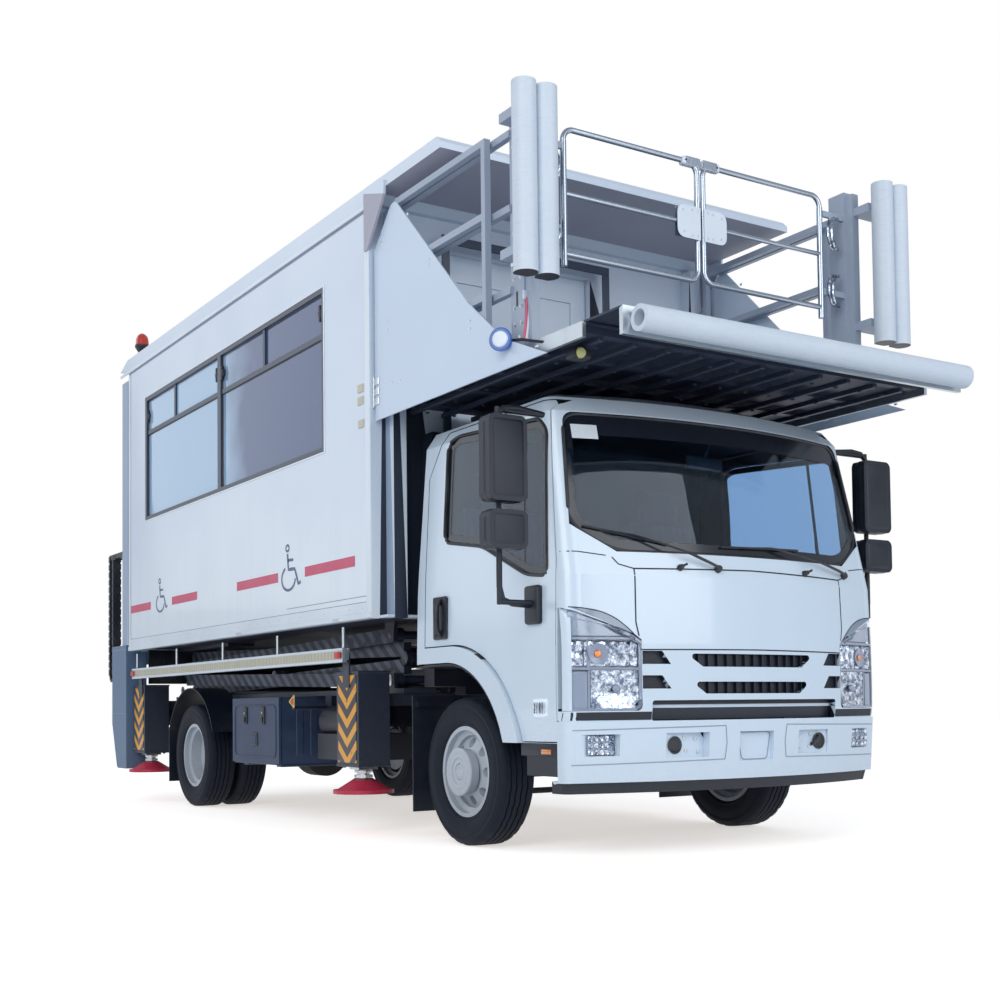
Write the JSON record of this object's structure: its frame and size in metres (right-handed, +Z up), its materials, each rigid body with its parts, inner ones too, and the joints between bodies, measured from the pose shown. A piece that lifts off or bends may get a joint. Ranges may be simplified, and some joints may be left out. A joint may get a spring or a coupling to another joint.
{
  "type": "ambulift",
  "caption": "Light lorry with a scissor-lifted passenger box, a sliding front boarding platform with gates, and a folding rear lift ramp.",
  "frame": {"origin": "centre of the machine's footprint, on the ground under the wheels", "axes": "+X forward, +Y to the vehicle's left, +Z up"},
  "size_m": [7.2554, 2.66, 3.88],
  "materials": {
    "painted_steel_dark": "satin",
    "lift_steel": "satin",
    "bare_steel": "satin",
    "rim_silver": "satin",
    "tyre": "matte",
    "cab_white": "gloss",
    "box_white": "gloss",
    "black_plastic": "matte",
    "grey_plastic": "matte",
    "glass": "gloss",
    "lamp_glass": "gloss",
    "aluminium": "satin",
    "grey_steel": "satin",
    "pad_red": "satin",
    "stainless": "polished",
    "fender_white": "matte",
    "seat_fabric": "matte",
    "beacon_red": "gloss"
  },
  "bodies": {
    "chassis": {"chassis_frame": "painted_steel_dark", "frame_crossmembers": "painted_steel_dark", "front_axle_beam": "painted_steel_dark", "rear_axle": "painted_steel_dark", "leaf_springs": "painted_steel_dark", "engine_block": "painted_steel_dark", "fuel_tank": "painted_steel_dark", "tool_box": "grey_plastic", "chassis_gear": "black_plastic", "lift_base": "grey_steel", "side_guards": "aluminium", "mudguards": "black_plastic", "cab_shell": "cab_white", "headlamps": "lamp_glass", "front_panel": "cab_white", "windscreen": "glass", "front_bumper": "cab_white", "cab_interior": "seat_fabric"},
    "front_wheel_left": {"front_rim_left": "rim_silver", "front_tyre_left": "tyre"},
    "front_wheel_right": {"front_rim_right": "rim_silver", "front_tyre_right": "tyre"},
    "rear_wheels_left": {"rear_rims_left": "rim_silver", "rear_tyres_left": "tyre"},
    "rear_wheels_right": {"rear_rims_right": "rim_silver", "rear_tyres_right": "tyre"},
    "knuckle_left": {"steering_knuckle_left": "painted_steel_dark"},
    "knuckle_right": {"steering_knuckle_right": "painted_steel_dark"},
    "steering_tie_rod": {"tie_rod": "painted_steel_dark"},
    "tool_lid": {"tool_box_lid": "grey_plastic"},
    "front_jacks": {"jack_legs_front": "pad_red"},
    "rear_jacks": {"jack_legs_rear": "pad_red"},
    "outer_lower_arms": {"scissor_outer_lower": "lift_steel"},
    "inner_lower_arms": {"scissor_inner_lower": "lift_steel"},
    "outer_upper_arms": {"scissor_outer_upper": "lift_steel"},
    "inner_upper_arms": {"scissor_inner_upper": "lift_steel"},
    "lift_barrels": {"cylinder_barrels": "painted_steel_dark"},
    "lift_rods": {"cylinder_rods": "bare_steel"},
    "box": {"box_floor": "grey_steel", "box_side_walls": "box_white", "box_window_frames": "aluminium", "box_glazing": "glass", "box_front_wall": "box_white", "box_rear_wall": "box_white", "box_roof": "box_white", "box_benches": "seat_fabric", "beacons": "beacon_red", "tail_columns": "grey_steel", "energy_chain": "black_plastic"},
    "sliding_door": {"box_front_door": "box_white"},
    "front_platform": {"platform_deck": "grey_steel", "wing_panels": "box_white"},
    "sliding_bridge": {"bridge": "aluminium", "bridge_fenders": "fender_white"},
    "left_gate": {"gate_left": "stainless"},
    "right_gate": {"gate_right": "stainless"},
    "rear_carriage": {"tail_carriage": "grey_steel"},
    "rear_ramp": {"tail_ramp": "aluminium"},
    "left_cab_door": {"cab_door_left": "cab_white"},
    "right_cab_door": {"cab_door_right": "cab_white"}
  },
  "joints": [
    {"name": "steer_left", "type": "hinge", "parent": "chassis", "child": "knuckle_left", "pos_m": [1.99773, 0.73, 0.382], "axis": [0, 0, 1], "range_deg": [-35, 35]},
    {"name": "front_wheel_spin_left", "type": "hinge", "parent": "knuckle_left", "child": "front_wheel_left", "pos_m": [1.99773, 0.892, 0.382], "axis": [0, 1, 0], "continuous": true},
    {"name": "rear_wheel_spin_left", "type": "hinge", "parent": "chassis", "child": "rear_wheels_left", "pos_m": [-1.84727, 0.835, 0.382], "axis": [0, 1, 0], "continuous": true},
    {"name": "cab_door_left", "type": "hinge", "parent": "chassis", "child": "left_cab_door", "pos_m": [2.87873, 1.01, 1.3], "axis": [0, 0, -1], "range_deg": [0, 65]},
    {"name": "gate_left_swing", "type": "hinge", "parent": "sliding_bridge", "child": "left_gate", "pos_m": [2.77773, 0.862, 3.18], "axis": [0, 0, -1], "range_deg": [0, 90]},
    {"name": "steer_right", "type": "hinge", "parent": "chassis", "child": "knuckle_right", "pos_m": [1.99773, -0.73, 0.382], "axis": [0, 0, 1], "range_deg": [-35, 35]},
    {"name": "front_wheel_spin_right", "type": "hinge", "parent": "knuckle_right", "child": "front_wheel_right", "pos_m": [1.99773, -0.892, 0.382], "axis": [0, 1, 0], "continuous": true},
    {"name": "rear_wheel_spin_right", "type": "hinge", "parent": "chassis", "child": "rear_wheels_right", "pos_m": [-1.84727, -0.835, 0.382], "axis": [0, 1, 0], "continuous": true},
    {"name": "cab_door_right", "type": "hinge", "parent": "chassis", "child": "right_cab_door", "pos_m": [2.87873, -1.01, 1.3], "axis": [0, 0, 1], "range_deg": [0, 65]},
    {"name": "gate_right_swing", "type": "hinge", "parent": "sliding_bridge", "child": "right_gate", "pos_m": [2.77773, -0.862, 3.18], "axis": [0, 0, 1], "range_deg": [0, 90]},
    {"name": "tie_rod_swing", "type": "hinge", "parent": "knuckle_right", "child": "steering_tie_rod", "pos_m": [1.84773, -0.73, 0.272], "axis": [0, 0, 1], "range_deg": [-35, 35]},
    {"name": "tool_lid_drop", "type": "hinge", "parent": "chassis", "child": "tool_lid", "pos_m": [-0.58477, -1.075, 0.361], "axis": [1, 0, 0], "range_deg": [0, 95]},
    {"name": "front_jack_slide", "type": "slide", "parent": "chassis", "child": "front_jacks", "axis": [0, 0, -1], "range_m": [0, 0.225]},
    {"name": "rear_jack_slide", "type": "slide", "parent": "chassis", "child": "rear_jacks", "axis": [0, 0, -1], "range_m": [0, 0.225]},
    {"name": "lift", "type": "hinge", "parent": "chassis", "child": "outer_lower_arms", "pos_m": [0.89773, 0, 0.88], "axis": [0, 1, 0], "range_deg": [0, 35.85]},
    {"name": "lower_scissor", "type": "hinge", "parent": "outer_lower_arms", "child": "inner_lower_arms", "pos_m": [-0.901, 0, 0.9475], "axis": [0, 1, 0], "range_deg": [-71.75, 0]},
    {"name": "upper_elbow", "type": "hinge", "parent": "outer_lower_arms", "child": "outer_upper_arms", "pos_m": [-2.69973, 0, 1.015], "axis": [0, 1, 0], "range_deg": [-71.75, 0]},
    {"name": "upper_scissor", "type": "hinge", "parent": "outer_upper_arms", "child": "inner_upper_arms", "pos_m": [-0.901, 0, 1.0825], "axis": [0, 1, 0], "range_deg": [0, 71.75]},
    {"name": "box_level", "type": "hinge", "parent": "outer_upper_arms", "child": "box", "pos_m": [0.89773, 0, 1.15], "axis": [0, 1, 0], "range_deg": [0, 35.9]},
    {"name": "cylinder_tilt", "type": "hinge", "parent": "chassis", "child": "lift_barrels", "pos_m": [-0.70227, 0, 0.862], "axis": [0, -1, 0], "range_deg": [0, 18.87]},
    {"name": "cylinder_stroke", "type": "slide", "parent": "lift_barrels", "child": "lift_rods", "axis": [1, 0, 0], "range_m": [0, 0.1319]},
    {"name": "platform_drop", "type": "slide", "parent": "box", "child": "front_platform", "axis": [0, 0, -1], "range_m": [0, 1.1005]},
    {"name": "bridge_slide", "type": "slide", "parent": "front_platform", "child": "sliding_bridge", "axis": [1, 0, 0], "range_m": [0, 0.6]},
    {"name": "front_door_slide", "type": "slide", "parent": "box", "child": "sliding_door", "axis": [0, 1, 0], "range_m": [0, 0.8]},
    {"name": "rear_carriage_slide", "type": "slide", "parent": "box", "child": "rear_carriage", "axis": [0, 0, -1], "range_m": [0, 1.05]},
    {"name": "rear_ramp_fold", "type": "hinge", "parent": "rear_carriage", "child": "rear_ramp", "pos_m": [-3.27773, 0, 1.225], "axis": [0, -1, 0], "range_deg": [0, 90]}
  ],
  "couplings": [
    {"joint": "steer_right", "follows": "steer_left", "ratio": 1},
    {"joint": "tie_rod_swing", "follows": "steer_left", "ratio": -1},
    {"joint": "lower_scissor", "follows": "lift", "ratio": -2},
    {"joint": "upper_elbow", "follows": "lift", "ratio": -2},
    {"joint": "upper_scissor", "follows": "lift", "ratio": 2},
    {"joint": "box_level", "follows": "lift", "ratio": 1},
    {"joint": "cylinder_tilt", "follows": "lift", "ratio": 0.525},
    {"joint": "cylinder_stroke", "follows": "lift", "m_per_rad": 0.21},
    {"joint": "platform_drop", "follows": "lift", "m_per_rad": 1.758}
  ]
}
